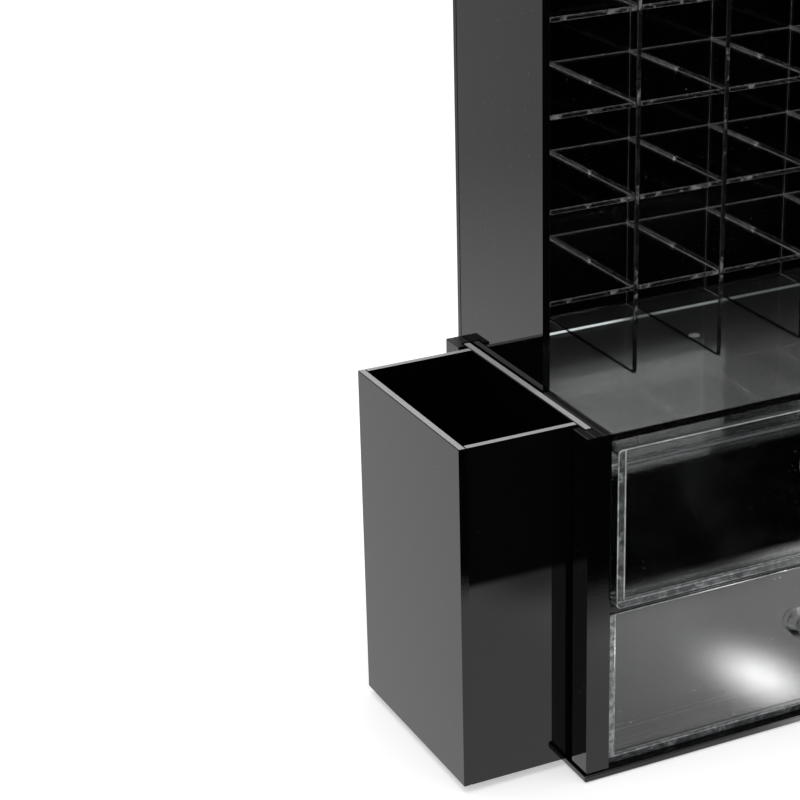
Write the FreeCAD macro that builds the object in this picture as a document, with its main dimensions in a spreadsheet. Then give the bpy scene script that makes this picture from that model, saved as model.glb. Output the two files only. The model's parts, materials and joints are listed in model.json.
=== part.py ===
"""Cosmetics tower of glossy sheet with two clear drawers, a lipstick grid and a lift-out brush holder.

Frame: +Z up, the drawers open towards -Y, and the brush holder hangs on the -X side. The origin lies on
the base plate's underside, on the drawers' middle plane and midway along the side panels' depth. All sizes
are in millimetres. At rest the brush holder is down in its rails and the upper drawer stands a little open.
"""
import FreeCAD, Part
import os
import Sketcher
from FreeCAD import Vector

doc = FreeCAD.newDocument("brush_holder_tower")

# Driving dimensions: alias, value, what it is.
SIZES = [
    # the sheets that the tower is cut from
    ("base_sheet", 3, "thickness of the base plate"),
    ("base_edge_radius", 0.8, "rounding of the base plate's polished edges"),
    ("wall_sheet", 3, "thickness of the side panels"),
    ("back_sheet", 3, "thickness of the back panel"),
    ("shelf_sheet", 3, "thickness of the chest's clear shelf and top, and of the tower's top"),
    ("grid_sheet", 2, "thickness of the lipstick grid's uprights and shelves"),
    ("edge_break", 0.3, "chamfer on the cut edges of every sheet"),
    # the tower
    ("base_margin", 1, "how far the base plate stands out in front of the panels and beside them"),
    ("inner_width", 189.6, "between the side panels' inner faces"),
    ("tower_depth", 116, "side panels' depth at the chest, front edge to rear edge"),
    ("upper_depth", 69, "side panels' depth above the chest"),
    ("bay_height", 67.5, "clear height of one drawer bay"),
    ("cell_height", 34, "clear height of one grid cell"),
    ("grid_rows", 5, "rows of cells"),
    ("grid_columns", 5, "columns of cells"),
    ("lap_clearance", 0.1, "play on each side of a half-lap slot, and at its end"),
    # the rails on the left side panel
    ("rail_spacer_width", 8, "width of the spacer strips"),
    ("rail_lip_sheet", 3, "thickness of the lip strips"),
    ("rail_lip_width", 11.5, "width of the lip strips"),
    # the drawers
    ("drawer_sheet", 3, "thickness of the drawers' sheets"),
    ("drawer_side_gap", 0.75, "play on each side of a drawer"),
    ("drawer_top_gap", 2.5, "play over a drawer"),
    ("drawer_rear_gap", 0.5, "between a closed drawer and the back panel"),
    ("drawer_recess", 3, "how far a closed drawer's front lies behind the side panels' front edges"),
    ("drawer_edge_radius", 2, "rounding of a drawer's long outer edges"),
    ("upper_drawer_open", 6.3, "how far the upper drawer stands open at rest"),
    # the knobs
    ("knob_diameter", 12, "diameter of a knob's ball"),
    ("knob_neck_diameter", 7, "diameter of the neck under the ball"),
    ("knob_neck_length", 2.5, "from the drawer's front to where the ball's curve starts"),
    ("screw_diameter", 3, "diameter of the knob screw's shank"),
    ("screw_clearance", 0.05, "play round the shank"),
    ("screw_bite", 6, "how deep the shank goes into the knob"),
    ("screw_head_diameter", 6, "diameter of the knob screw's head"),
    ("screw_head_height", 1.8, "height of the knob screw's head"),
    ("screw_recess_length", 3.6, "length of each arm of the head's cross recess, tip to tip"),
    ("screw_recess_width", 1, "width of each arm of the head's cross recess"),
    ("screw_recess_depth", 1, "depth of the head's cross recess"),
    # the brush holder
    ("holder_sheet", 3, "thickness of the brush holder's sheets"),
    ("holder_reach", 49, "depth of the brush box in front of its back plate"),
    ("holder_side_gap", 2.5, "play between the brush box and each rail lip"),
    ("flange_play", 0.5, "play between the back plate and the slot's faces, and at its edges"),
]

sheet = doc.addObject("Spreadsheet::Sheet", "Sizes")
for row, (alias, size, meaning) in enumerate(SIZES, start=1):
    sheet.set(f"A{row}", str(size))
    sheet.setAlias(f"A{row}", alias)
    sheet.set(f"B{row}", meaning)
doc.recompute()


def value_of(expression):
    """The present value of an expression over the sheet's cells."""
    value = sheet.evalExpression(expression)
    return float(getattr(value, "Value", value))


# Places that several pieces share, as expressions over the sheet.
WALL = "Sizes.wall_sheet"
INNER = "Sizes.inner_width"
LEFT_INNER_X = f"(-{INNER} / 2)"
RIGHT_INNER_X = f"({INNER} / 2)"
LEFT_OUTER_X = f"({LEFT_INNER_X} - {WALL})"
RAIL_SLOT = "(Sizes.holder_sheet + 2 * Sizes.flange_play)"
SLOT_OUTER_X = f"({LEFT_OUTER_X} - {RAIL_SLOT})"
LIP_OUTER_X = f"({SLOT_OUTER_X} - Sizes.rail_lip_sheet)"
FRONT_Y = "(-Sizes.tower_depth / 2)"
REAR_Y = "(Sizes.tower_depth / 2)"
GRID_FRONT_Y = f"({REAR_Y} - Sizes.upper_depth)"
BASE_TOP = "Sizes.base_sheet"
LOWER_BAY_Z = BASE_TOP
MIDDLE_SHELF_Z = f"({LOWER_BAY_Z} + Sizes.bay_height)"
UPPER_BAY_Z = f"({MIDDLE_SHELF_Z} + Sizes.shelf_sheet)"
CHEST_TOP_Z = f"({UPPER_BAY_Z} + Sizes.bay_height)"
GRID_Z = f"({CHEST_TOP_Z} + Sizes.shelf_sheet)"

CHEST_HEIGHT = f"({GRID_Z} - {BASE_TOP})"
GRID_DEPTH = "Sizes.upper_depth"
ROW_PITCH = "(Sizes.cell_height + Sizes.grid_sheet)"
GRID_HEIGHT = f"(Sizes.grid_rows * {ROW_PITCH} - Sizes.grid_sheet)"
TOWER_HEIGHT = f"({GRID_Z} + {GRID_HEIGHT} + Sizes.shelf_sheet - {BASE_TOP})"
CELL_WIDTH = f"(({INNER} - (Sizes.grid_columns - 1) * Sizes.grid_sheet) / Sizes.grid_columns)"
COLUMN_PITCH = f"({CELL_WIDTH} + Sizes.grid_sheet)"

# A sheet lies across one axis: its sketch plane, and whether its pad is reversed to run along +axis.
LAY = {"X": ("YZ_Plane", False), "Y": ("XZ_Plane", True), "Z": ("XY_Plane", False)}


def place(piece, x, y, z):
    """Bind a piece's position to the sheet."""
    for axis, expression in zip("xyz", (x, y, z)):
        piece.setExpression(f"Placement.Base.{axis}", expression)


def new_sketch(body, name, plane):
    """An empty sketch on one of the body's origin planes."""
    sketch = body.newObject("Sketcher::SketchObject", f"{body.Name}_{name}")
    support = next(feature for feature in body.Origin.OriginFeatures if feature.Role == plane)
    sketch.AttachmentSupport = (support, [""])
    sketch.MapMode = "FlatFace"
    return sketch


def bind(sketch, kind, where, expression):
    """Add a dimension whose value follows an expression."""
    index = sketch.addConstraint(Sketcher.Constraint(kind, *where, value_of(expression)))
    sketch.setExpression(f"Constraints[{index}]", expression)


def bind_point(sketch, geometry, end, across, up):
    """Bind both coordinates of one end or centre of a sketch's geometry."""
    bind(sketch, "DistanceX", (-1, 1, geometry, end), across)
    bind(sketch, "DistanceY", (-1, 1, geometry, end), up)


def polygon_sketch(body, name, plane, corners):
    """A closed outline with every corner bound."""
    sketch = new_sketch(body, name, plane)
    points = [Vector(value_of(across), value_of(up), 0) for across, up in corners]
    for start, end in zip(points, points[1:] + points[:1]):
        sketch.addGeometry(Part.LineSegment(start, end), False)
    for line in range(len(points)):
        sketch.addConstraint(Sketcher.Constraint("Coincident", line, 2, (line + 1) % len(points), 1))
    for line, (across, up) in enumerate(corners):
        bind_point(sketch, line, 1, across, up)
    return sketch


def circle_sketch(body, name, plane, across, up, radius):
    """A circle with its centre and radius bound."""
    sketch = new_sketch(body, name, plane)
    centre = Vector(value_of(across), value_of(up), 0)
    sketch.addGeometry(Part.Circle(centre, Vector(0, 0, 1), value_of(radius)), False)
    bind_point(sketch, 0, 3, across, up)
    bind(sketch, "Radius", (0,), radius)
    return sketch


def rectangle(width, height, left="0", bottom="0"):
    """The corners of a rectangle, as expressions."""
    right = f"{left} + {width}"
    top = f"{bottom} + {height}"
    return [(left, bottom), (right, bottom), (right, top), (left, top)]


def sheet_body(name, across, corners, thickness):
    """A body with one outline padded to a sheet that lies across an axis."""
    plane, backwards = LAY[across]
    body = doc.addObject("PartDesign::Body", name)
    body.Label = name
    pad = body.newObject("PartDesign::Pad", f"{name}_sheet")
    pad.Profile = polygon_sketch(body, "outline", plane, corners)
    pad.Reversed = backwards
    pad.setExpression("Length", thickness)
    body.Tip = pad
    doc.recompute()
    return body


def cut_slots(body, across, corners, thickness, direction, pitch, count):
    """Cut a row of equal slots through a sheet."""
    plane, backwards = LAY[across]
    pocket = body.newObject("PartDesign::Pocket", f"{body.Name}_slot")
    pocket.Profile = polygon_sketch(body, "slot_outline", plane, corners)
    pocket.Reversed = not backwards
    pocket.setExpression("Length", thickness)
    body.Tip = pocket
    if value_of(count) > 1:
        pattern = body.newObject("PartDesign::LinearPattern", f"{body.Name}_slots")
        pattern.Originals = [pocket]
        pattern.Direction = (next(f for f in body.Origin.OriginFeatures if f.Role == direction), [""])
        pattern.setExpression("Length", f"{pitch} * ({count} - 1)")
        pattern.setExpression("Occurrences", count)
        body.Tip = pattern
    doc.recompute()


def add_feature(body, kind, name):
    """A new feature that follows the body's tip."""
    before = body.Tip
    feature = body.newObject(f"PartDesign::{kind}", f"{body.Name}_{name}")
    body.Tip = feature
    return before, feature


def break_edges(body):
    """Chamfer every edge of a sheet."""
    before, chamfer = add_feature(body, "Chamfer", "edge_break")
    chamfer.Base = (before, [""])
    chamfer.UseAllEdges = True
    chamfer.setExpression("Size", "Sizes.edge_break")
    doc.recompute()


def panel(name, across, width, height, thickness, x, y, z):
    """A plain rectangular sheet with broken edges."""
    body = sheet_body(name, across, rectangle(width, height), thickness)
    break_edges(body)
    place(body, x, y, z)
    return body


def base_plate():
    """It stands out past the panels and rails, apart from the rear, where it ends with them."""
    width = f"{RIGHT_INNER_X} + {WALL} - {LIP_OUTER_X} + 2 * Sizes.base_margin"
    depth = "Sizes.tower_depth + Sizes.base_margin"
    body = sheet_body("base_plate", "Z", rectangle(width, depth), "Sizes.base_sheet")
    before, rounding = add_feature(body, "Fillet", "rounding")
    rounding.Base = (before, [""])
    rounding.UseAllEdges = True
    rounding.setExpression("Radius", "Sizes.base_edge_radius")
    place(body, f"{LIP_OUTER_X} - Sizes.base_margin", f"{FRONT_Y} - Sizes.base_margin", "0")
    return [body]


def side_panels():
    """Full depth beside the chest, stepped back beside the grid."""
    step = "Sizes.tower_depth - Sizes.upper_depth"
    outline = [
        ("0", "0"),
        ("Sizes.tower_depth", "0"),
        ("Sizes.tower_depth", TOWER_HEIGHT),
        (step, TOWER_HEIGHT),
        (step, CHEST_HEIGHT),
        ("0", CHEST_HEIGHT),
    ]
    bodies = []
    for side, x in (("left", LEFT_OUTER_X), ("right", RIGHT_INNER_X)):
        body = sheet_body(f"side_panel_{side}", "X", outline, WALL)
        break_edges(body)
        place(body, x, FRONT_Y, BASE_TOP)
        bodies.append(body)
    return bodies


def back_panel():
    """It closes the rear from the table up, over the rear edges of the base plate and both side panels."""
    width = f"({INNER} + 2 * {WALL})"
    height = f"({TOWER_HEIGHT} + {BASE_TOP})"
    return [panel("back_panel", "Y", width, height, "Sizes.back_sheet", LEFT_OUTER_X, REAR_Y, "0")]


def clear_sheets():
    """The chest's shelf and top, and the tower's top, between the side panels."""
    sheet_size = "Sizes.shelf_sheet"
    levels = (("middle_shelf", MIDDLE_SHELF_Z), ("chest_top", CHEST_TOP_Z))
    shelves = [
        panel(name, "Z", INNER, "Sizes.tower_depth", sheet_size, LEFT_INNER_X, FRONT_Y, level)
        for name, level in levels
    ]
    top_z = f"{GRID_Z} + {GRID_HEIGHT}"
    top = panel("tower_top", "Z", INNER, GRID_DEPTH, sheet_size, LEFT_INNER_X, GRID_FRONT_Y, top_z)
    return [*shelves, top]


def lipstick_grid():
    """Uprights slotted from behind and shelves slotted from the front, half-lapped into each other."""
    skin = "Sizes.grid_sheet"
    play = "Sizes.lap_clearance"
    slot_width = f"{skin} + 2 * {play}"
    slot_length = f"{GRID_DEPTH} / 2 + {play}"
    slot_start = f"{GRID_DEPTH} / 2 - {play}"
    rear_slot = rectangle(slot_length, slot_width, slot_start, f"Sizes.cell_height - {play}")
    front_slot = rectangle(slot_width, slot_length, f"{CELL_WIDTH} - {play}", "0")
    rows = round(value_of("Sizes.grid_rows"))
    columns = round(value_of("Sizes.grid_columns"))
    bodies = []
    for number in range(1, columns):
        upright = sheet_body(f"upright_divider_{number}", "X", rectangle(GRID_DEPTH, GRID_HEIGHT), skin)
        cut_slots(upright, "X", rear_slot, skin, "Z_Axis", ROW_PITCH, "Sizes.grid_rows - 1")
        break_edges(upright)
        place(upright, f"{LEFT_INNER_X} + {number} * {COLUMN_PITCH} - {skin}", GRID_FRONT_Y, GRID_Z)
        bodies.append(upright)
    for number in range(1, rows):
        shelf = sheet_body(f"grid_shelf_{number}", "Z", rectangle(INNER, GRID_DEPTH), skin)
        cut_slots(shelf, "Z", front_slot, skin, "X_Axis", COLUMN_PITCH, "Sizes.grid_columns - 1")
        break_edges(shelf)
        place(shelf, LEFT_INNER_X, GRID_FRONT_Y, f"{GRID_Z} + {number} * {ROW_PITCH} - {skin}")
        bodies.append(shelf)
    return bodies


def rails():
    """A spacer strip and a wider lip strip at each end of the left side panel, as high as the chest."""
    strips = (
        ("spacer", "Sizes.rail_spacer_width", RAIL_SLOT, SLOT_OUTER_X),
        ("lip", "Sizes.rail_lip_width", "Sizes.rail_lip_sheet", LIP_OUTER_X),
    )
    bodies = []
    for strip, width, thickness, x in strips:
        for end, y in (("front", FRONT_Y), ("rear", f"{REAR_Y} - {width}")):
            name = f"rail_{strip}_{end}"
            bodies.append(panel(name, "X", width, CHEST_HEIGHT, thickness, x, y, BASE_TOP))
    return bodies


DRAWER_SKIN = "Sizes.drawer_sheet"
DRAWER_X = f"({LEFT_INNER_X} + Sizes.drawer_side_gap)"
DRAWER_WIDTH = f"({INNER} - 2 * Sizes.drawer_side_gap)"
DRAWER_DEPTH = "(Sizes.tower_depth - Sizes.drawer_recess - Sizes.drawer_rear_gap)"
DRAWER_WALL_HEIGHT = f"(Sizes.bay_height - Sizes.drawer_top_gap - {DRAWER_SKIN})"
DRAWER_INSIDE_WIDTH = f"({DRAWER_WIDTH} - 2 * {DRAWER_SKIN})"
SCREW_HOLE_RADIUS = "(Sizes.screw_diameter / 2 + Sizes.screw_clearance)"


def drawer_front(name, x, y, z):
    """The front sheet, with the knob screw's hole in its middle."""
    outline = rectangle(DRAWER_INSIDE_WIDTH, DRAWER_WALL_HEIGHT)
    body = sheet_body(name, "Y", outline, DRAWER_SKIN)
    hole = body.newObject("PartDesign::Pocket", f"{name}_screw_hole")
    middle_x = f"{DRAWER_INSIDE_WIDTH} / 2"
    middle_z = f"{DRAWER_WALL_HEIGHT} / 2"
    hole.Profile = circle_sketch(body, "hole_outline", "XZ_Plane", middle_x, middle_z, SCREW_HOLE_RADIUS)
    hole.Reversed = False
    hole.setExpression("Length", DRAWER_SKIN)
    body.Tip = hole
    doc.recompute()
    break_edges(body)
    place(body, x, y, z)
    return body


def round_long_edges(body, is_outer):
    """Round the edges along Y whose middle passes the test, then break the others."""
    before, rounding = add_feature(body, "Fillet", "rounding")
    long_edges = [
        f"Edge{number}"
        for number, edge in enumerate(before.Shape.Edges, start=1)
        if abs(edge.tangentAt(edge.FirstParameter).y) > 0.5 and is_outer(edge.CenterOfMass)
    ]
    rounding.Base = (before, long_edges)
    rounding.setExpression("Radius", "Sizes.drawer_edge_radius")
    doc.recompute()
    break_edges(body)


def drawer_side(name, outer_face, x, y, z):
    """A side sheet, with its upper outer edge rounded. The outer face is 0 for the left, 1 for the right."""
    body = sheet_body(name, "X", rectangle(DRAWER_DEPTH, DRAWER_WALL_HEIGHT), DRAWER_SKIN)
    middle_x = value_of(DRAWER_SKIN) / 2
    middle_z = value_of(DRAWER_WALL_HEIGHT) / 2
    round_long_edges(body, lambda point: point.z > middle_z and (point.x > middle_x) == bool(outer_face))
    place(body, x, y, z)
    return body


def drawer_bottom(name, x, y, z):
    """The bottom sheet under all four walls, with its lower side edges rounded."""
    body = sheet_body(name, "Z", rectangle(DRAWER_WIDTH, DRAWER_DEPTH), DRAWER_SKIN)
    middle_z = value_of(DRAWER_SKIN) / 2
    round_long_edges(body, lambda point: point.z < middle_z)
    place(body, x, y, z)
    return body


def knob(name, x, front_y, z):
    """A turned ball on a short neck, with a blind hole for its screw. Its axis runs along -Y."""
    body = doc.addObject("PartDesign::Body", name)
    body.Label = name
    neck = "Sizes.knob_neck_diameter / 2"
    neck_end = "-Sizes.knob_neck_length"
    ball = "Sizes.knob_diameter / 2"
    ball_centre = f"{neck_end} - sqrt(({ball}) ^ 2 - ({neck}) ^ 2)"
    hole_end = "-Sizes.screw_bite - Sizes.screw_clearance"
    corners = [
        ("0", SCREW_HOLE_RADIUS),
        ("0", neck),
        (neck_end, neck),
        (f"{ball_centre} - {ball}", "0"),
        (hole_end, "0"),
        (hole_end, SCREW_HOLE_RADIUS),
    ]
    ball_edge = corners.index((neck_end, neck))
    sketch = new_sketch(body, "profile", "YZ_Plane")
    points = [Vector(value_of(along), value_of(out), 0) for along, out in corners]
    for edge, (start, end) in enumerate(zip(points, points[1:] + points[:1])):
        if edge == ball_edge:
            widest = Vector(value_of(ball_centre), value_of(ball), 0)
            sketch.addGeometry(Part.Arc(start, widest, end), False)
        else:
            sketch.addGeometry(Part.LineSegment(start, end), False)
    for edge in range(len(points)):
        sketch.addConstraint(Sketcher.Constraint("Coincident", edge, 2, (edge + 1) % len(points), 1))
    for edge, corner in enumerate(corners):
        if edge not in (ball_edge, ball_edge + 1):
            bind_point(sketch, edge, 1, *corner)
    bind_point(sketch, ball_edge, 3, ball_centre, "0")
    bind(sketch, "Radius", (ball_edge,), ball)
    bind(sketch, "DistanceX", (-1, 1, ball_edge, 1), neck_end)
    bind(sketch, "DistanceY", (-1, 1, ball_edge, 2), "0")
    turned = body.newObject("PartDesign::Revolution", f"{name}_turned")
    turned.Profile = sketch
    turned.ReferenceAxis = (sketch, ["H_Axis"])
    turned.Angle = 360
    body.Tip = turned
    doc.recompute()
    place(body, x, front_y, z)
    return body


def knob_screw(name, x, inner_y, z):
    """A round-headed screw along Y: its head lies on the front's inner face, with a cross recess."""
    along_minus_y = FreeCAD.Rotation(Vector(1, 0, 0), 90)
    shank = doc.addObject("Part::Cylinder", f"{name}_shank")
    shank.setExpression("Radius", "Sizes.screw_diameter / 2")
    shank.setExpression("Height", "Sizes.drawer_sheet + Sizes.screw_bite")
    shank.Placement.Rotation = along_minus_y
    head = doc.addObject("Part::Cylinder", f"{name}_head")
    head.setExpression("Radius", "Sizes.screw_head_diameter / 2")
    head.setExpression("Height", "Sizes.screw_head_height")
    head.Placement.Rotation = along_minus_y
    head.setExpression("Placement.Base.y", "Sizes.screw_head_height")
    blank = doc.addObject("Part::Fuse", f"{name}_blank")
    blank.Base = head
    blank.Tool = shank
    length = "Sizes.screw_recess_length"
    width = "Sizes.screw_recess_width"
    slots = []
    for direction, across, up in (("level", length, width), ("upright", width, length)):
        slot = doc.addObject("Part::Box", f"{name}_{direction}_slot")
        slot.setExpression("Length", across)
        slot.setExpression("Width", "Sizes.screw_recess_depth")
        slot.setExpression("Height", up)
        place(slot, f"-{across} / 2", "Sizes.screw_head_height - Sizes.screw_recess_depth", f"-{up} / 2")
        slots.append(slot)
    cross = doc.addObject("Part::Fuse", f"{name}_recess")
    cross.Base, cross.Tool = slots
    screw = doc.addObject("Part::Cut", name)
    screw.Base = blank
    screw.Tool = cross
    screw.Label = name
    place(screw, x, inner_y, z)
    return screw


def drawer(name, bay_z, opened):
    """An open-topped box: the sides run its full depth, and the front and back stand between them."""
    front_y = f"({FRONT_Y} + Sizes.drawer_recess - {opened})"
    back_y = f"{front_y} + {DRAWER_DEPTH} - {DRAWER_SKIN}"
    inner_y = f"{front_y} + {DRAWER_SKIN}"
    wall_z = f"{bay_z} + {DRAWER_SKIN}"
    knob_z = f"{wall_z} + {DRAWER_WALL_HEIGHT} / 2"
    inside_x = f"{DRAWER_X} + {DRAWER_SKIN}"
    right_x = f"{inside_x} + {DRAWER_INSIDE_WIDTH}"
    middle_x = f"{inside_x} + {DRAWER_INSIDE_WIDTH} / 2"
    back = panel(
        f"{name}_back", "Y", DRAWER_INSIDE_WIDTH, DRAWER_WALL_HEIGHT, DRAWER_SKIN, inside_x, back_y, wall_z
    )
    return [
        drawer_front(f"{name}_front", inside_x, front_y, wall_z),
        drawer_side(f"{name}_left_side", 0, DRAWER_X, front_y, wall_z),
        drawer_side(f"{name}_right_side", 1, right_x, front_y, wall_z),
        drawer_bottom(f"{name}_bottom", DRAWER_X, front_y, bay_z),
        back,
        knob(f"{name}_knob", middle_x, front_y, knob_z),
        knob_screw(f"{name}_knob_screw", middle_x, inner_y, knob_z),
    ]


def brush_holder():
    """An open-topped box on a wider back plate, whose flanges run in the rails' slot."""
    skin = "Sizes.holder_sheet"
    width = "(Sizes.tower_depth - 2 * Sizes.rail_lip_width - 2 * Sizes.holder_side_gap)"
    plate_width = "(Sizes.tower_depth - 2 * Sizes.rail_spacer_width - 2 * Sizes.flange_play)"
    plate_x = f"({SLOT_OUTER_X} + Sizes.flange_play)"
    outer_x = f"({plate_x} - Sizes.holder_reach)"
    wall_x = f"({outer_x} + {skin})"
    wall_reach = f"(Sizes.holder_reach - {skin})"
    front_y = f"(-{width} / 2)"
    rear_wall_y = f"{width} / 2 - {skin}"
    floor_y = f"{front_y} + {skin}"
    floor_width = f"({width} - 2 * {skin})"
    plates = (
        ("back_plate", "X", plate_width, CHEST_HEIGHT, plate_x, f"-{plate_width} / 2"),
        ("outer_wall", "X", width, CHEST_HEIGHT, outer_x, front_y),
        ("front_wall", "Y", wall_reach, CHEST_HEIGHT, wall_x, front_y),
        ("rear_wall", "Y", wall_reach, CHEST_HEIGHT, wall_x, rear_wall_y),
        ("floor", "Z", wall_reach, floor_width, wall_x, floor_y),
    )
    return [
        panel(f"holder_{name}", across, length, height, skin, x, y, BASE_TOP)
        for name, across, length, height, x, y in plates
    ]


pieces = [
    *base_plate(),
    *side_panels(),
    *back_panel(),
    *clear_sheets(),
    *lipstick_grid(),
    *rails(),
    *drawer("lower_drawer", LOWER_BAY_Z, "0"),
    *drawer("upper_drawer", UPPER_BAY_Z, "Sizes.upper_drawer_open"),
    *brush_holder(),
]

doc.recompute()
failed = [thing.Name for thing in doc.Objects if {"Invalid", "Error"} & set(thing.State)]
failed += [piece.Label for piece in pieces if piece.Shape.isNull() or not piece.Shape.isValid()]
if failed:
    raise RuntimeError(f"these objects failed: {failed}")

os.makedirs("parts", exist_ok=True)
for piece in pieces:
    piece.Shape.exportStep(f"parts/{piece.Label}.step")
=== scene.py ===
"""Looks for the cosmetics tower: glossy black and clear acrylic sheet on a white table."""
import json
import math

import bmesh
import bpy
from mathutils import Matrix, Vector


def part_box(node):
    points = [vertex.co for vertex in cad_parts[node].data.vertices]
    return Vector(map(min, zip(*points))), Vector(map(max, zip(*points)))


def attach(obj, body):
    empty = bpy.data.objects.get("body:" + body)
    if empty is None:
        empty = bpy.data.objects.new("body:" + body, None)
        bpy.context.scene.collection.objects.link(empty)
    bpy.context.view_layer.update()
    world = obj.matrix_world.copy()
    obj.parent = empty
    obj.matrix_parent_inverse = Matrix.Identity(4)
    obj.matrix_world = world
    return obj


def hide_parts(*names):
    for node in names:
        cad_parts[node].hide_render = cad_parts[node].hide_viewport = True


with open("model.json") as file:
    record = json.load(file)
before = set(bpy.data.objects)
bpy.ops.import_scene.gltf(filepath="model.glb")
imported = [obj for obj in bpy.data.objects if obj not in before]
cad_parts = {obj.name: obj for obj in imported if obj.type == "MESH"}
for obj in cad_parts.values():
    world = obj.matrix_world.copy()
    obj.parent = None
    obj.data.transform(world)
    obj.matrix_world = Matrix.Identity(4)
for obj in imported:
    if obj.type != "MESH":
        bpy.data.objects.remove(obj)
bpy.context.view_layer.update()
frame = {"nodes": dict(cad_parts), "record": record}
scene = bpy.context.scene
MM = 0.001

# ---------------------------------------------------------------- camera
# The camera stands to the object's left, in front and above. Its place is in the CAD frame.
CAMERA_PLACE_MM = (-484.2, -718.8, 478.3)
CAMERA_AZIMUTH = -24.76
CAMERA_ELEVATION = 22.65
CAMERA_ROLL = -1.58
CAMERA_FOCAL_PX = 2293.78
CAMERA_CLIP = (0.01, 50)
FRAME_WIDTH_PX = 800
SENSOR_WIDTH_MM = 36


def make_camera():
    angles = (CAMERA_AZIMUTH, CAMERA_ELEVATION, CAMERA_ROLL)
    azimuth, elevation, roll = (math.radians(angle) for angle in angles)
    level = math.cos(elevation)
    back = Vector((math.sin(azimuth) * level, -math.cos(azimuth) * level, math.sin(elevation)))
    right = Vector((math.cos(azimuth), math.sin(azimuth), 0))
    up = back.cross(right)
    rolled_right = right * math.cos(roll) + up * math.sin(roll)
    rolled_up = up * math.cos(roll) - right * math.sin(roll)
    data = bpy.data.cameras.new("camera")
    data.sensor_width = SENSOR_WIDTH_MM
    data.lens = CAMERA_FOCAL_PX / FRAME_WIDTH_PX * SENSOR_WIDTH_MM
    data.clip_start, data.clip_end = CAMERA_CLIP
    camera = bpy.data.objects.new("camera", data)
    turn = Matrix((rolled_right, rolled_up, back)).transposed().to_4x4()
    camera.matrix_world = Matrix.Translation(Vector(CAMERA_PLACE_MM) * MM) @ turn
    scene.collection.objects.link(camera)
    scene.camera = camera


make_camera()


# ---------------------------------------------------------------- node helpers
class Graph:
    """A node tree with short calls: a value that is a socket is linked, any other is set."""

    def __init__(self, tree):
        self.tree = tree
        tree.nodes.clear()

    def node(self, kind, inputs=None, **settings):
        made = self.tree.nodes.new(kind)
        for name, value in settings.items():
            setattr(made, name, value)
        for name, value in (inputs or {}).items():
            if isinstance(value, bpy.types.NodeSocket):
                self.tree.links.new(value, made.inputs[name])
            else:
                made.inputs[name].default_value = value
        return made

    def math(self, operation, first, second=0.0, clamp=False):
        inputs = {0: first, 1: second}
        return self.node("ShaderNodeMath", inputs, operation=operation, use_clamp=clamp).outputs[0]

    def ramp(self, value, low, high, to_low=0.0, to_high=1.0):
        """Maps low..high smoothly to to_low..to_high."""
        inputs = {"Value": value, "From Min": low, "From Max": high, "To Min": to_low, "To Max": to_high}
        return self.node("ShaderNodeMapRange", inputs, interpolation_type="SMOOTHSTEP").outputs[0]

    def mix_colour(self, factor, first, second):
        made = self.node("ShaderNodeMix", data_type="RGBA")
        for index, value in ((0, factor), (6, first), (7, second)):
            if isinstance(value, bpy.types.NodeSocket):
                self.tree.links.new(value, made.inputs[index])
            else:
                made.inputs[index].default_value = value
        return made.outputs[2]

    def mix_shader(self, factor, first, second):
        return self.node("ShaderNodeMixShader", {0: factor, 1: first, 2: second}).outputs[0]

    def noise(self, vector, scale, detail=2.0, roughness=0.5):
        inputs = {"Vector": vector, "Scale": scale, "Detail": detail, "Roughness": roughness}
        return self.node("ShaderNodeTexNoise", inputs).outputs[0]

    def pattern(self, vector, scale, detail, low, high, roughness=0.5):
        """Noise as marks, which fade in between the levels low and high."""
        return self.ramp(self.noise(vector, scale, detail, roughness), low, high)

    def output(self, shader, kind="ShaderNodeOutputMaterial"):
        self.node(kind, {"Surface": shader})


def new_material(name):
    material = bpy.data.materials.new(name)
    material.use_nodes = True
    return material, Graph(material.node_tree)


def grey(value, alpha=1.0):
    return (value, value, value, alpha)


# ---------------------------------------------------------------- sheet masks
ACRYLIC_IOR = 1.49
AXES = {"X": 0, "Y": 1, "Z": 2}
# A normal's part along an axis: below the first number the surface faces another way, above the second it
# faces along that axis.
SQUARE_ON = (0.9, 0.98)
# The largest part of a normal: an edge break lies below the first number, a flat side above the second.
SLANT_BAND = (0.75, 0.9)
# An edge break's part along Y: above the second number it runs round the front or rear outline.
OUTLINE_BAND = (0.35, 0.5)
# The grid's cement went in from the left of each upright: a normal's part along X tells the sides apart.
CEMENT_BAND = (-0.1, 0.1)


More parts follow.
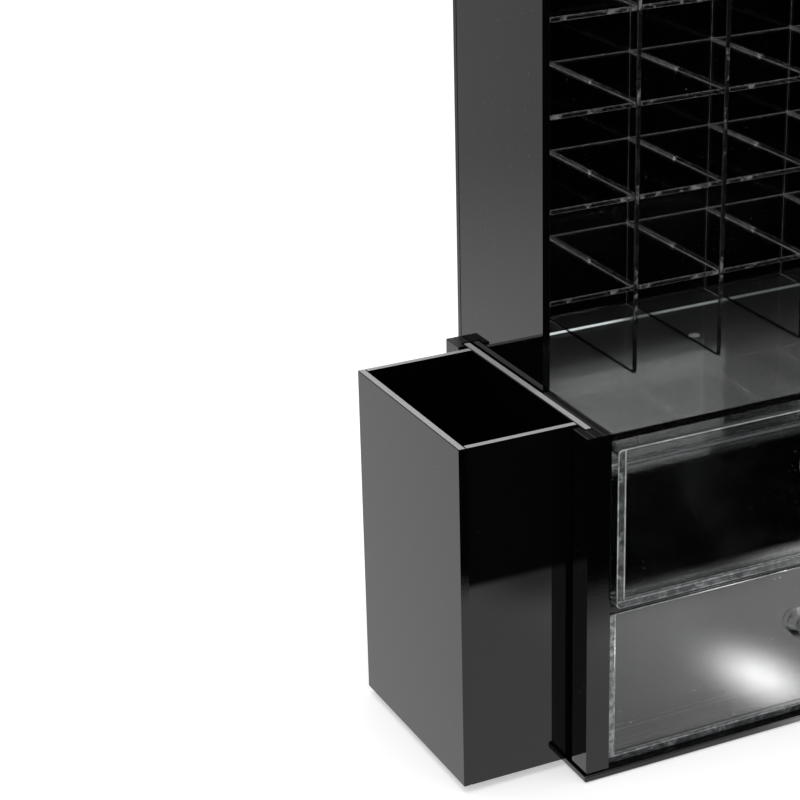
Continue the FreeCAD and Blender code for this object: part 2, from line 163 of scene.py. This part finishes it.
def sheet_masks(g, across):
    """For a sheet that lies across an axis: its broad faces, its edges that face up, its edge breaks round
    the front and rear outline, those from front to rear on the side that took cement, and its edges that
    meet a side wall or the back. The normal points out of the sheet, also where light is inside it."""
    normal = g.node("ShaderNodeTexCoord").outputs["Normal"]
    inside = g.node("ShaderNodeNewGeometry").outputs["Backfacing"]
    outward = g.math("SUBTRACT", 1.0, g.math("MULTIPLY", inside, 2.0))
    scaled = {"Vector": normal, "Scale": outward}
    normal = g.node("ShaderNodeVectorMath", scaled, operation="SCALE").outputs[0]
    parts = g.node("ShaderNodeSeparateXYZ", {0: normal})
    along = g.math("ABSOLUTE", parts.outputs[AXES[across]])
    face = g.ramp(along, *SQUARE_ON)
    top = g.math("MULTIPLY", g.ramp(parts.outputs[2], *SQUARE_ON), g.math("SUBTRACT", 1.0, face))
    sizes = [g.math("ABSOLUTE", parts.outputs[index]) for index in range(3)]
    largest = g.math("MAXIMUM", g.math("MAXIMUM", sizes[0], sizes[1]), sizes[2])
    slanted = g.ramp(largest, *SLANT_BAND, 1.0, 0.0)
    outline = g.math("MULTIPLY", slanted, g.ramp(sizes[1], *OUTLINE_BAND))
    walled = g.math("MAXIMUM", sizes[0], parts.outputs[1])
    bonded = g.math("MULTIPLY", g.ramp(walled, *SQUARE_ON), g.math("SUBTRACT", 1.0, face))
    cement_side = (1.0, 0.0) if across == "X" else (0.0, 1.0)
    cemented = g.ramp(parts.outputs[0], *CEMENT_BAND, *cement_side)
    seam = g.math("MULTIPLY", g.math("SUBTRACT", slanted, outline, clamp=True), cemented)
    return face, top, outline, seam, bonded


# ---------------------------------------------------------------- marks of use
# A pattern of marks: its features per metre, the noise's detail and the levels between which it fades in.
BLACK_SMUDGES = (45, 4, 0.45, 0.8)
CLEAR_SMUDGES = (30, 4, 0.5, 0.85)
WIPING_LINES = (60, 3, 0.64, 0.74)
WIPING_TURN = (0.3, 0.5, 0.7)
WIPING_SQUEEZE = (1, 14, 90)
# Dust: cells per metre, and for each sheet the largest dot, as a share of a cell, and the share of cells
# that hold one.
DUST_CELLS = 420
BLACK_DUST = (0.12, 0.12)
CLEAR_DUST = (0.14, 0.08)


def specks(g, place, size, share):
    """Sparse dust: small round dots, in only a share of the cells."""
    cells = g.node("ShaderNodeTexVoronoi", {"Vector": place, "Scale": DUST_CELLS, "Randomness": 1.0})
    tones = g.node("ShaderNodeSeparateColor", {0: cells.outputs["Color"]})
    reach = g.math("MULTIPLY", tones.outputs[1], size)
    dot = g.math("LESS_THAN", cells.outputs["Distance"], reach)
    return g.math("MULTIPLY", dot, g.math("GREATER_THAN", tones.outputs[0], 1.0 - share))


def scratches(g, place):
    """Fine wiping lines, as stretched noise."""
    inputs = {"Vector": place, "Rotation": WIPING_TURN, "Scale": WIPING_SQUEEZE}
    stretched = g.node("ShaderNodeMapping", inputs)
    return g.pattern(stretched.outputs[0], *WIPING_LINES)


# ---------------------------------------------------------------- black sheet
BLACK_FACE_TONE = 0.0015
SAWN_TONES = (0.0002, 0.0012)
# The painted highlight on edges facing up: its darkest and lightest share of the rim tone.
RIM_HIGHLIGHT_SHARES = (0.75, 1.2)
BLACK_DUST_TONE = 0.2
BLACK_DUST_COVER = 0.4
POLISH_ROUGHNESS = 0.02
SMUDGE_ROUGHNESS = 0.04
SCRATCH_ROUGHNESS = 0.05
SAWN_ROUGHNESS = 0.05
RIM_ROUGHNESS = 0.45
SCRATCH_DEPTH = 0.02
SAW_SCALE = 1100
SAW_BUMP = {"Strength": 0.3, "Distance": 0.00006}
# A normal's part along Y, between which an edge break starts to count as one of the front's.
FRONT_BAND = (-0.5, -0.4)


def black_acrylic(name, across, rim_tone=0.01):
    """Polished faces, sawn edges, and edges facing up painted lighter than the other sawn edges, a painted
    highlight. The strips' front edges are trimmed flush, so their edge breaks are shaded as part of the
    front."""
    material, g = new_material(name)
    place = g.node("ShaderNodeTexCoord").outputs["Object"]
    face, top, arris, _, _ = sheet_masks(g, across)
    edge = g.math("SUBTRACT", 1.0, face)
    smudge = g.pattern(place, *BLACK_SMUDGES)
    dust = specks(g, place, *BLACK_DUST)
    lines = scratches(g, place)
    saw = g.noise(place, SAW_SCALE, detail=3, roughness=0.7)
    # Edges facing up are painted lighter than the other sawn edges: a painted highlight.
    rim_highlight_colour = g.mix_colour(saw, *(grey(rim_tone * share) for share in RIM_HIGHLIGHT_SHARES))
    sawn_colour = g.mix_colour(saw, *(grey(tone) for tone in SAWN_TONES))
    edge_colour = g.mix_colour(top, sawn_colour, rim_highlight_colour)
    dusty = g.math("MULTIPLY", dust, BLACK_DUST_COVER)
    face_colour = g.mix_colour(dusty, grey(BLACK_FACE_TONE), grey(BLACK_DUST_TONE))
    colour = g.mix_colour(face, edge_colour, face_colour)
    smudged = g.math("MULTIPLY", smudge, SMUDGE_ROUGHNESS)
    face_roughness = g.math("ADD", smudged, g.math("MULTIPLY", lines, SCRATCH_ROUGHNESS))
    face_roughness = g.math("ADD", face_roughness, POLISH_ROUGHNESS)
    edge_roughness = g.ramp(top, 0.0, 1.0, SAWN_ROUGHNESS, RIM_ROUGHNESS)
    face_part = g.math("MULTIPLY", face, face_roughness)
    roughness = g.math("ADD", face_part, g.math("MULTIPLY", edge, edge_roughness))
    height = g.math("ADD", g.math("MULTIPLY", saw, edge), g.math("MULTIPLY", lines, SCRATCH_DEPTH))
    normal = g.node("ShaderNodeNewGeometry").outputs["Normal"]
    forward = g.node("ShaderNodeSeparateXYZ", {0: normal}).outputs[1]
    flush = g.math("MULTIPLY", arris, g.ramp(forward, *FRONT_BAND, 1.0, 0.0))
    turned = {0: flush, 4: normal, 5: (0.0, -1.0, 0.0)}
    shading_normal = g.node("ShaderNodeMix", turned, data_type="VECTOR").outputs[1]
    bump_inputs = {**SAW_BUMP, "Height": height, "Normal": shading_normal}
    bump = g.node("ShaderNodeBump", bump_inputs).outputs[0]
    inputs = {"Base Color": colour, "Roughness": roughness, "IOR": ACRYLIC_IOR, "Normal": bump}
    g.output(g.node("ShaderNodeBsdfPrincipled", inputs).outputs[0])
    return material


# ---------------------------------------------------------------- clear sheet
CLEAR_TINT = (0.975, 0.988, 0.984, 1)
# The cut edges: a fine grain that runs across the sheet, smoother and rougher patches, and the mottled and
# blotched milk left by the saw.
CUT_GRAIN = 2200.0
CUT_GRAIN_ACROSS = 250.0
CUT_BUMP = {"Strength": 0.08, "Distance": 0.0001}
CUT_ROUGHNESS = 0.04
ROUGH_PATCHES = (55, 2, 0.45, 0.6)
SMOOTH_PATCH_GRAIN = 0.25
MOTTLING = (380, 3, 0.35, 0.7, 0.65)
BLOTCHES = (130, 3, 0.54, 0.6)
RIM_BUMP_SHARE = 0.15
SCRATCH_MILK = 0.004
DUST_MILK = 0.4
# A pale veil lies on the faces of the sheets above this height, which lie open.
VEIL_Z = 0.14
VEIL_FADE = 0.002
# Heights and depths, in metres, between which a finish changes.
LOW_DRAWER_BAND = (0.068, 0.072)
REAR_RIM_BAND = (0.0, 0.02)
GRID_REAR_BAND = (0.04, 0.05)
LAP_BAND = (0.0008, 0.0016)
FOOT_FADE = 0.012
SEAT_FADE = 0.0003
# Milk on the grid's edge breaks: at the rear of the shelves and of the uprights, and how much less of it
# the uprights have in front. Last, the uprights' share of the painted glow on the rear edge breaks.
SHELF_REAR_MILK = 0.9
UPRIGHT_REAR_MILK = 0.5
UPRIGHT_FRONT_SHARE = 0.3
UPRIGHT_REAR_GLOW_SHARE = 0.1
# Dark joints where a sheet meets a wall, and the painted shade line where an upright stands.
BOND_AND_SHADE_TONE = 0.012
SEAT_SHADE_COVER = 0.85
BOND_COVER = 0.95
# The painted glow of a drawer back's rim, to the left of the first place and to the right of the second.
RIM_GLOW_BAND = (-0.035, -0.02)
RIM_GLOW_LEVELS = (1.1, 0.13)
LEAST_SEAM_GLOW = 0.4


def edge_glow(g, across, x, y, top, arris, seam, mottle, seam_glow, rear_rim_milk):
    """How strongly a painted glow, for light that the sheet guides, comes out at its edges, or None where it
    doesn't.
    """
    if rear_rim_milk and across == "Y":
        rear_rim = g.math("MULTIPLY", top, g.ramp(y, *REAR_RIM_BAND))
        return g.math("MULTIPLY", rear_rim, g.ramp(x, *RIM_GLOW_BAND, *RIM_GLOW_LEVELS))
    if not seam_glow:
        return None
    rear_share = 1.0 if across == "Z" else UPRIGHT_REAR_GLOW_SHARE
    rear_arris = g.math("MULTIPLY", arris, g.ramp(y, *GRID_REAR_BAND, 0.0, rear_share))
    lines = g.math("MAXIMUM", seam, rear_arris)
    mottled = g.math("MULTIPLY", lines, g.ramp(mottle, 0.0, 1.0, LEAST_SEAM_GLOW, 1.0))
    return g.math("MULTIPLY", mottled, seam_glow)


def clear_acrylic(
    name, across, haze=0.0, veil=0.0, edge_shade=0.9, edge_milk=0.0, low_front_milk=0.0, patch_milk=0.0,
    rim_milk=0.0, rear_rim_milk=0.0, arris_milk=0.0, seam_milk=0.0, seam_glow=0.0, is_bonded=False,
    seat_z=-1.0, foot_z=-1.0, lap_y=None, milk_colour=(0.8, 0.8, 0.8, 1),
):
    """Refracting sheet. Haze and veil lie on the faces, milk on the cut edges, rims and edge breaks.
    Below foot_z the front edge breaks stay clear, below seat_z a line of painted shade darkens where the
    sheet stands, and at lap_y the half-laps' cement shows as bright dots, milky and with a painted glow."""
    material, g = new_material(name)
    place = g.node("ShaderNodeTexCoord").outputs["Object"]
    x, y, z = g.node("ShaderNodeSeparateXYZ", {0: place}).outputs
    face, top, arris, seam, bonded = sheet_masks(g, across)
    edge = g.math("SUBTRACT", 1.0, face)
    smudge = g.pattern(place, *CLEAR_SMUDGES)
    dust = specks(g, place, *CLEAR_DUST)
    lines = scratches(g, place)
    grain = [CUT_GRAIN] * 3
    grain[AXES[across]] = CUT_GRAIN_ACROSS
    cut_place = g.node("ShaderNodeMapping", {"Vector": place, "Scale": grain}).outputs[0]
    cut = g.noise(cut_place, 1.0, detail=2, roughness=0.6)
    rough_patch = g.pattern(place, *ROUGH_PATCHES)
    mottle = g.pattern(place, *MOTTLING)

    edge_roughness = g.math("ADD", g.math("MULTIPLY", rough_patch, CUT_ROUGHNESS), CUT_ROUGHNESS)
    roughness = g.math("MULTIPLY", edge, edge_roughness)
    grain_depth = g.math("MULTIPLY", edge, g.math("ADD", rough_patch, SMOOTH_PATCH_GRAIN))
    height = g.math("MULTIPLY", cut, grain_depth)
    height = g.math("MULTIPLY", height, g.ramp(top, 0.0, 1.0, 1.0, RIM_BUMP_SHARE))
    bump = g.node("ShaderNodeBump", {**CUT_BUMP, "Height": height}).outputs[0]
    # The cut edges are tinted dark by edge_shade: painted shade for the darkness seen through them.
    colour = g.mix_colour(edge, CLEAR_TINT, grey(edge_shade))
    inputs = {"Base Color": colour, "Roughness": roughness, "IOR": ACRYLIC_IOR, "Normal": bump}
    inputs["Transmission Weight"] = 1.0
    glass = g.node("ShaderNodeBsdfPrincipled", inputs).outputs[0]

    marks = g.math("ADD", g.math("MULTIPLY", smudge, haze), g.math("MULTIPLY", lines, SCRATCH_MILK))
    marks = g.math("ADD", marks, g.math("MULTIPLY", dust, DUST_MILK))
    veiled = g.ramp(z, VEIL_Z - VEIL_FADE, VEIL_Z, 0.0, veil)
    marks = g.math("MULTIPLY", g.math("ADD", marks, veiled), face)

    above_foot = g.ramp(z, foot_z, foot_z + FOOT_FADE)
    if lap_y is not None:
        from_lap = g.math("ABSOLUTE", g.math("SUBTRACT", y, lap_y))
        front_milk, rear_milk = arris_milk, SHELF_REAR_MILK
        if across == "X":
            front_milk, rear_milk = arris_milk * UPRIGHT_FRONT_SHARE, UPRIGHT_REAR_MILK
        seam_milk = g.ramp(from_lap, *LAP_BAND, 1.0, seam_milk)
        seam_glow = g.ramp(from_lap, *LAP_BAND, 1.0, seam_glow)
        arris_milk = g.ramp(y, *GRID_REAR_BAND, front_milk, rear_milk)
        above_foot = g.math("MAXIMUM", above_foot, g.ramp(y, *GRID_REAR_BAND))
    seam = g.math("MULTIPLY", seam, above_foot)
    plain_edge = g.math("SUBTRACT", g.math("SUBTRACT", edge, top), arris, clamp=True)
    arris = g.math("MULTIPLY", arris, above_foot)
    blotches = g.math("MULTIPLY", plain_edge, g.pattern(place, *BLOTCHES))
    blotches = g.math("MULTIPLY", blotches, above_foot)
    front_edge = g.math("SUBTRACT", plain_edge, bonded, clamp=True)
    # The side sheets' front edges on the lower drawer are painted lighter: a painted highlight.
    side_share = 1.0 if across == "X" else 0.0
    low_front_lit = g.math("MULTIPLY", front_edge, g.ramp(z, *LOW_DRAWER_BAND, side_share, 0.0))
    # Rims facing up take milk in front; the drawer backs' rear rims are painted bright white, a painted
    # highlight.
    rim_milk_and_highlight = g.ramp(y, *REAR_RIM_BAND, rim_milk, rear_rim_milk)
    # Each kind of milk or painted highlight: where it lies, how much there is, and its least share where it
    # is mottled.
    marked = (
        (low_front_lit, low_front_milk, 0.4), (plain_edge, edge_milk, 0.3), (blotches, patch_milk, 0.2),
        (top, rim_milk_and_highlight, 0.8), (arris, arris_milk, 0.5), (seam, seam_milk, 0.6),
    )
    for mask, amount, least in marked:
        mottled = g.math("MULTIPLY", g.ramp(mottle, 0.0, 1.0, least, 1.0), amount)
        marks = g.math("ADD", marks, g.math("MULTIPLY", mask, mottled), clamp=True)
    milk = g.node("ShaderNodeBsdfDiffuse", {"Color": milk_colour}).outputs[0]
    looked = g.mix_shader(marks, glass, milk)

    if is_bonded:
        # Dark joints against the walls, and painted shade along the foot where the sheet stands.
        bond_and_seat_shade = g.node("ShaderNodeBsdfDiffuse", {"Color": grey(BOND_AND_SHADE_TONE)}).outputs[0]
        seat_shade = g.ramp(z, seat_z, seat_z + SEAT_FADE, SEAT_SHADE_COVER, 0.0)
        dark = g.math("MAXIMUM", seat_shade, g.math("MULTIPLY", bonded, BOND_COVER))
        looked = g.mix_shader(dark, looked, bond_and_seat_shade)
    # A painted glow: emission at the sheet's edges, though the sheet is no lamp.
    glow_level = edge_glow(g, across, x, y, top, arris, seam, mottle, seam_glow, rear_rim_milk)
    if glow_level is not None:
        glow = g.node("ShaderNodeEmission", {"Color": milk_colour, "Strength": glow_level}).outputs[0]
        looked = g.node("ShaderNodeAddShader", {0: looked, 1: glow}).outputs[0]
    g.output(looked)
    return material


# ---------------------------------------------------------------- knobs and screws
KNOB_TINT = (0.97, 0.985, 0.98, 1)
KNOB_SWIRL_SCALE = 160
KNOB_SWIRL_BAND = (0.4, 0.8)
KNOB_ROUGHNESS = (0.01, 0.05)
STEEL_WEAR_SCALE = 900
STEEL_WEAR_BAND = (0.3, 0.8)
STEEL_ROUGHNESS = (0.18, 0.4)
STEEL_BRIGHT = (0.72, 0.71, 0.69, 1)
STEEL_DULL = (0.5, 0.49, 0.47, 1)


def glass_knob():
    material, g = new_material("knob_acrylic")
    place = g.node("ShaderNodeTexCoord").outputs["Object"]
    swirl = g.noise(place, KNOB_SWIRL_SCALE, detail=3)
    roughness = g.ramp(swirl, *KNOB_SWIRL_BAND, *KNOB_ROUGHNESS)
    inputs = {"Base Color": KNOB_TINT, "Roughness": roughness, "IOR": ACRYLIC_IOR}
    inputs["Transmission Weight"] = 1.0
    g.output(g.node("ShaderNodeBsdfPrincipled", inputs).outputs[0])
    return material


def screw_steel():
    material, g = new_material("screw_steel")
    place = g.node("ShaderNodeTexCoord").outputs["Object"]
    wear = g.noise(place, STEEL_WEAR_SCALE, detail=3)
    roughness = g.ramp(wear, *STEEL_WEAR_BAND, *STEEL_ROUGHNESS)
    colour = g.mix_colour(wear, STEEL_BRIGHT, STEEL_DULL)
    inputs = {"Base Color": colour, "Metallic": 1.0, "Roughness": roughness}
    g.output(g.node("ShaderNodeBsdfPrincipled", inputs).outputs[0])
    return material


def thickness_axis(node):
    low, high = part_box(node)
    spans = high - low
    return "XYZ"[min(range(3), key=lambda axis: spans[axis])]


SLOT_LOOKS = {
    "black_acrylic": (black_acrylic, {}),
    "holder_acrylic": (black_acrylic, {"rim_tone": 0.4}),
    "clear_acrylic": (clear_acrylic, {
        "haze": 0.02, "veil": 0.056, "edge_shade": 0.0005, "edge_milk": 0.002, "is_bonded": True,
    }),
    "grid_acrylic": (clear_acrylic, {
        "edge_shade": 0.01, "edge_milk": 0.01, "patch_milk": 0.16, "arris_milk": 0.1, "seam_milk": 0.5,
        "seam_glow": 0.22, "is_bonded": True, "seat_z": 0.1446, "foot_z": 0.158, "lap_y": 0.0235,
    }),
    "drawer_acrylic": (clear_acrylic, {
        "haze": 0.006, "edge_shade": 0.25, "edge_milk": 0.13, "low_front_milk": 0.22, "patch_milk": 0.08,
        "rim_milk": 0.08, "rear_rim_milk": 1.0, "arris_milk": 0.45, "milk_colour": (0.82, 0.86, 0.88, 1),
    }),
}

# Between sheets that touch, on each side, in metres.
AIR_GAP = 0.00003


def clear_sheet(node, material, body):
    """Stands for a clear sheet with the same sheet a hair smaller, so that light refracts in and out of
    each sheet where two of them touch."""
    low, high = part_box(node)
    middle = (low + high) / 2
    mesh = frame["nodes"][node].data.copy()
    mesh.name = f"{node}_clear"
    shrink = Vector(1 - 2 * AIR_GAP / span for span in high - low)
    for vertex in mesh.vertices:
        vertex.co = middle + (vertex.co - middle) * shrink
    mesh.materials.clear()
    mesh.materials.append(material)
    piece = bpy.data.objects.new(f"{node}_clear", mesh)
    scene.collection.objects.link(piece)
    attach(piece, body)
    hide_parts(node)


def dress_nodes():
    """Gives every CAD node the finish of its record slot."""
    made = {"knob_acrylic": glass_knob(), "screw_steel": screw_steel()}
    record = frame["record"]
    slots = {entry["node"]: entry["material_slot"] for entry in record["subparts"]}
    bodies = {node: body for body, nodes in record["behaviour"]["bodies"].items() for node in nodes}
    for node, thing in frame["nodes"].items():
        slot = slots[node]
        key = slot
        if slot in SLOT_LOOKS:
            across = thickness_axis(node)
            key = f"{slot}_{across}"
            if key not in made:
                look, settings = SLOT_LOOKS[slot]
                made[key] = look(key, across, **settings)
        if SLOT_LOOKS.get(slot, (None,))[0] is clear_acrylic:
            clear_sheet(node, made[key], bodies[node])
        else:
            thing.data.materials.clear()
            thing.data.materials.append(made[key])


dress_nodes()

# ---------------------------------------------------------------- a drop of cement on the chest top
DROP_PLACE_MM = (-14.8, 12.5)
DROP_RADIUS = 0.0024
DROP_RISE = 0.0004
DROP_RINGS = (1.0, 0.93, 0.78, 0.5)
DROP_SIDES = 28
# How far the outline strays from round, in two and in five lobes.
DROP_LOBES = (0.05, 0.03)
DROP_LOBE_TURN = 0.6
CEMENT_CLOUD_SCALE = 700
CEMENT_CLOUD_BAND = (0.3, 0.7)
CEMENT_ROUGHNESS = (0.2, 0.45)
CEMENT_BUMP = {"Strength": 0.3, "Distance": 0.00005}
CEMENT_DARK = (0.6, 0.6, 0.56, 1)
CEMENT_PALE = (0.9, 0.89, 0.84, 1)


def cement_drop():
    """A flat, slightly uneven dome that set beside an upright's foot."""
    material, g = new_material("cement")
    place = g.node("ShaderNodeTexCoord").outputs["Object"]
    cloud = g.noise(place, CEMENT_CLOUD_SCALE, detail=3)
    colour = g.mix_colour(cloud, CEMENT_DARK, CEMENT_PALE)
    bump = g.node("ShaderNodeBump", {**CEMENT_BUMP, "Height": cloud}).outputs[0]
    roughness = g.ramp(cloud, *CEMENT_CLOUD_BAND, *CEMENT_ROUGHNESS)
    inputs = {"Base Color": colour, "Roughness": roughness, "Normal": bump}
    g.output(g.node("ShaderNodeBsdfPrincipled", inputs).outputs[0])
    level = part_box("chest_top")[1].z + AIR_GAP
    two_lobes, five_lobes = DROP_LOBES
    shape = bmesh.new()
    rings = []
    for number, reach in enumerate(DROP_RINGS):
        height = level + DROP_RISE * math.sin(math.pi / 2 * number / len(DROP_RINGS))
        ring = []
        for side in range(DROP_SIDES):
            turn = 2 * math.pi * side / DROP_SIDES
            stray = two_lobes * math.sin(2 * turn + DROP_LOBE_TURN) + five_lobes * math.sin(5 * turn)
            radius = DROP_RADIUS * reach * (1 + stray)
            x = DROP_PLACE_MM[0] * MM + radius * math.cos(turn)
            y = DROP_PLACE_MM[1] * MM + radius * math.sin(turn)
            ring.append(shape.verts.new((x, y, height)))
        rings.append(ring)
    for lower, upper in zip(rings, rings[1:]):
        for side in range(DROP_SIDES):
            after = (side + 1) % DROP_SIDES
            shape.faces.new((lower[side], lower[after], upper[after], upper[side]))
    shape.faces.new(rings[-1])
    shape.faces.new(list(reversed(rings[0])))
    mesh = bpy.data.meshes.new("cement_drop")
    shape.to_mesh(mesh)
    shape.free()
    for face in mesh.polygons:
        face.use_smooth = True
    mesh.materials.append(material)
    drop = bpy.data.objects.new("cement_drop", mesh)
    scene.collection.objects.link(drop)
    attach(drop, "tower")


cement_drop()

# ---------------------------------------------------------------- stage and light
TABLE_FRONT_Y = -0.196
TABLE_EDGE_BLUR = 0.004
TABLE_REAR_Y = 0.30
FAR_REAR_Y = 0.75
STAGE_REACH = 4.0
DARK_ROOM = 0.006
FAR_LEVEL = 0.58
# The table is brighter to the right, towards a window, with its glare at one place.
TABLE_LEFT_X = -0.08
TABLE_RIGHT_X = 0.0
TABLE_LEFT_LEVEL = 0.95
TABLE_RIGHT_LEVEL = 1.5
# Along its front edge the table is darker at the left and brighter at the right. The amounts are added to 1.
NEAR_EDGE_BAND = (-0.192, -0.15)
NEAR_LEFT_BAND = (-0.08, -0.04)
NEAR_LEFT_GAIN = -0.7
NEAR_RIGHT_BAND = (0.04, 0.09)
NEAR_RIGHT_GAIN = 1.4
GLARE_PLACE = (0.0, -0.088)
GLARE_SPREAD = (0.014, 0.023)
GLARE_LEVEL = 9.0
TABLE_DROP = 0.0002
TABLE_WHITE = 0.8
TABLE_GLOW = 0.42
WORLD_FILL = 0.75
WORLD_HORIZON = (-0.25, 0.1)
LIGHT_PLACE = (-0.3, -0.2, 1.6)
LIGHT_TARGET = (0, 0, 0.1)
LIGHT_SIZE = (1.2, 1.2)
LIGHT_POWER = 9


def ray_kinds(g):
    """Which rays come straight from the camera, and which have only been mirrored or refracted on the
    object. Light that a dull surface gathers is neither."""
    path = g.node("ShaderNodeLightPath").outputs
    indirect = g.math("MAXIMUM", path["Is Glossy Ray"], path["Is Transmission Ray"])
    indirect = g.math("MULTIPLY", indirect, g.math("LESS_THAN", path["Diffuse Depth"], 0.5))
    return path["Is Camera Ray"], indirect


def make_floor():
    """White everywhere to the camera, with the object's shadow. What the object mirrors is a white table
    with a dark room in front of it."""
    mesh = bpy.data.meshes.new("floor")
    r = STAGE_REACH
    mesh.from_pydata([(-r, -r, 0), (r, -r, 0), (r, r, 0), (-r, r, 0)], [], [(0, 1, 2, 3)])
    floor = bpy.data.objects.new("floor", mesh)
    floor.location.z = -TABLE_DROP
    scene.collection.objects.link(floor)
    material, g = new_material("white_table")
    place = g.node("ShaderNodeTexCoord").outputs["Object"]
    x, y = g.node("ShaderNodeSeparateXYZ", {0: place}).outputs[:2]
    _, indirect = ray_kinds(g)
    on_table = g.ramp(y, TABLE_FRONT_Y - TABLE_EDGE_BLUR, TABLE_FRONT_Y + TABLE_EDGE_BLUR)
    behind = g.ramp(y, TABLE_REAR_Y, FAR_REAR_Y, 1.0, FAR_LEVEL)
    side = g.ramp(x, TABLE_LEFT_X, TABLE_RIGHT_X, TABLE_LEFT_LEVEL, TABLE_RIGHT_LEVEL)
    near_left = g.ramp(x, *NEAR_LEFT_BAND, 0.0, NEAR_LEFT_GAIN)
    near_right = g.ramp(x, *NEAR_RIGHT_BAND, 0.0, NEAR_RIGHT_GAIN)
    near_gain = g.math("ADD", near_left, near_right)
    near_edge = g.math("MULTIPLY", g.ramp(y, *NEAR_EDGE_BAND, 1.0, 0.0), near_gain)
    table_level = g.math("MULTIPLY", g.math("MULTIPLY", behind, side), g.math("ADD", near_edge, 1.0))
    mirrored = g.math("ADD", g.math("MULTIPLY", on_table, table_level), DARK_ROOM)
    squares = [
        g.math("POWER", g.math("DIVIDE", g.math("SUBTRACT", along, middle), spread), 2.0)
        for along, middle, spread in zip((x, y), GLARE_PLACE, GLARE_SPREAD)
    ]
    glare = g.math("POWER", math.exp(-1), g.math("ADD", *squares))
    mirrored = g.math("ADD", mirrored, g.math("MULTIPLY", glare, GLARE_LEVEL))
    white = g.node("ShaderNodeBsdfDiffuse", {"Color": grey(TABLE_WHITE)}).outputs[0]
    glow = g.node("ShaderNodeEmission", {"Color": grey(1), "Strength": TABLE_GLOW}).outputs[0]
    table = g.node("ShaderNodeAddShader", {0: white, 1: glow}).outputs[0]
    shown = g.node("ShaderNodeEmission", {"Color": grey(1), "Strength": mirrored}).outputs[0]
    g.output(g.mix_shader(indirect, table, shown))
    mesh.materials.append(material)


def make_world():
    """White to the camera and even white light on the object. The object mirrors a dark room in front."""
    world = bpy.data.worlds.new("studio")
    scene.world = world
    world.use_nodes = True
    g = Graph(world.node_tree)
    direction = g.node("ShaderNodeTexCoord").outputs["Generated"]
    y = g.node("ShaderNodeSeparateXYZ", {0: direction}).outputs[1]
    camera_ray, indirect = ray_kinds(g)
    mirrored = g.ramp(y, *WORLD_HORIZON, DARK_ROOM, FAR_LEVEL)
    fill = g.math("ADD", g.math("MULTIPLY", camera_ray, 1 - WORLD_FILL), WORLD_FILL)
    level = g.math("ADD", g.math("MULTIPLY", indirect, g.math("SUBTRACT", mirrored, fill)), fill)
    background = g.node("ShaderNodeBackground", {"Color": grey(1), "Strength": level})
    g.output(background.outputs[0], "ShaderNodeOutputWorld")


def area_light(name, place, target, size, power):
    data = bpy.data.lights.new(name, "AREA")
    data.shape = "RECTANGLE"
    data.size, data.size_y = size
    data.energy = power
    light = bpy.data.objects.new(name, data)
    light.location = place
    light.rotation_mode = "QUATERNION"
    light.rotation_quaternion = (Vector(target) - Vector(place)).to_track_quat("-Z", "Y")
    scene.collection.objects.link(light)


make_floor()
make_world()
area_light("overhead", LIGHT_PLACE, LIGHT_TARGET, LIGHT_SIZE, LIGHT_POWER)

scene.view_settings.view_transform = "Standard"
scene.cycles.max_bounces = 40
scene.cycles.transmission_bounces = 32
scene.cycles.glossy_bounces = 12
